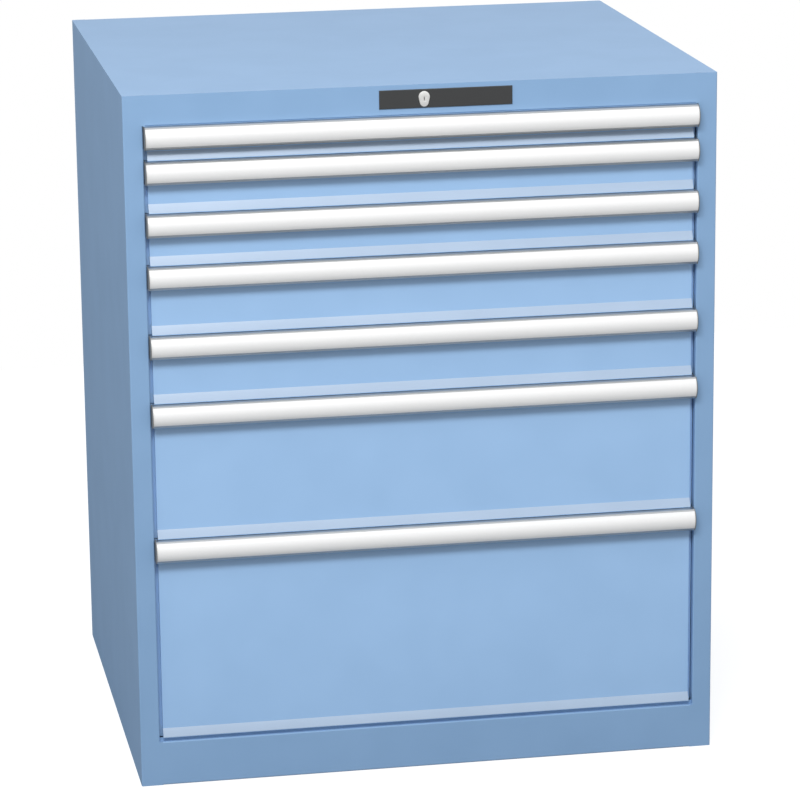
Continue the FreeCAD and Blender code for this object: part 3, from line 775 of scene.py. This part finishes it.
def studioLight():
    plan = lightPlan
    world = bpy.data.worlds.new("studioWorld")
    bpy.context.scene.world = world
    world.use_nodes = True
    tree = world.node_tree
    tree.nodes.clear()
    output = tree.nodes.new("ShaderNodeOutputWorld")
    direction = addNode(tree, "ShaderNodeTexCoord").outputs["Generated"]
    across = addNode(
        tree, "ShaderNodeVectorMath",
        {"operation": "DOT_PRODUCT", 1: Vector(plan["brightSide"]).normalized()}, {0: direction},
    )
    level = addNode(
        tree, "ShaderNodeMapRange",
        {"From Min": -1.0, "From Max": 1.0, "To Min": plan["ambient"][0], "To Max": plan["ambient"][1]},
        {"Value": across.outputs["Value"]},
    )
    height = addNode(tree, "ShaderNodeSeparateXYZ", None, {"Vector": direction})
    sheen = addNode(tree, "ShaderNodeValue")
    sheen.outputs[0].default_value = plan["glossy"][0][1]
    for (z0, level0), (z1, level1) in zip(plan["glossy"], plan["glossy"][1:]):
        step = addNode(
            tree, "ShaderNodeMapRange",
            {"From Min": z0, "From Max": z1, "To Min": 0.0, "To Max": level1 - level0},
            {"Value": height.outputs["Z"]},
        )
        sheen = addNode(
            tree, "ShaderNodeMath", {"operation": "ADD"}, {0: sheen.outputs[0], 1: step.outputs["Result"]},
        )
    plain = (1, 1, 1, 1)
    room = addNode(tree, "ShaderNodeBackground", {"Color": plain}, {"Strength": level.outputs["Result"]})
    mirrored = addNode(tree, "ShaderNodeBackground", {"Color": plain}, {"Strength": sheen.outputs[0]})
    white = addNode(tree, "ShaderNodeBackground", {"Color": plain, "Strength": 1.0})
    path = addNode(tree, "ShaderNodeLightPath")
    gloss = addNode(
        tree, "ShaderNodeMixShader", None,
        {"Fac": path.outputs["Is Glossy Ray"], 1: room.outputs[0], 2: mirrored.outputs[0]},
    )
    straight = addNode(
        tree, "ShaderNodeMath", {"operation": "MAXIMUM"},
        {0: path.outputs["Is Camera Ray"], 1: path.outputs["Is Transmission Ray"]},
    )
    mix = addNode(
        tree, "ShaderNodeMixShader", None,
        {"Fac": straight.outputs[0], 1: gloss.outputs[0], 2: white.outputs[0]},
    )
    tree.links.new(mix.outputs[0], output.inputs["Surface"])
    key = plan["key"]
    lamp = bpy.data.lights.new("keyPanel", "AREA")
    lamp.shape = "RECTANGLE"
    lamp.size, lamp.size_y = key["size"]
    lamp.energy = key["power"]
    holder = bpy.data.objects.new("keyPanel", lamp)
    aim = Vector(plan["aim"])
    holder.location = aim + Vector(key["towards"]).normalized() * key["distance"]
    holder.rotation_euler = (aim - holder.location).to_track_quat("-Z", "Y").to_euler()
    bpy.context.scene.collection.objects.link(holder)


cameraPlan = {
    "lens": 165.35, "sensor": 36.0, "yaw": 10.195, "pitch": 14.510, "roll": -0.615,
    "place": (-0.9418, -5.3751, 1.8792),
}


def photoCamera():
    plan = cameraPlan
    data = bpy.data.cameras.new("photoCamera")
    data.lens = plan["lens"]
    data.sensor_width = plan["sensor"]
    camera = bpy.data.objects.new("photoCamera", data)
    yaw, pitch, roll = (math.radians(plan[k]) for k in ("yaw", "pitch", "roll"))
    forward = Vector((math.sin(yaw) * math.cos(pitch), math.cos(yaw) * math.cos(pitch), -math.sin(pitch)))
    right = Vector((math.cos(yaw), -math.sin(yaw), 0))
    up = right.cross(forward)
    rolledRight = right * math.cos(roll) + up * math.sin(roll)
    rolledUp = up * math.cos(roll) - right * math.sin(roll)
    turn = Matrix((rolledRight, rolledUp, -forward)).transposed()
    camera.matrix_world = Matrix.Translation(plan["place"]) @ turn.to_4x4()
    bpy.context.scene.collection.objects.link(camera)
    bpy.context.scene.camera = camera


stageFloor()
studioLight()
photoCamera()
bpy.context.scene.view_settings.view_transform = "Standard"
print("stage, light and camera set")
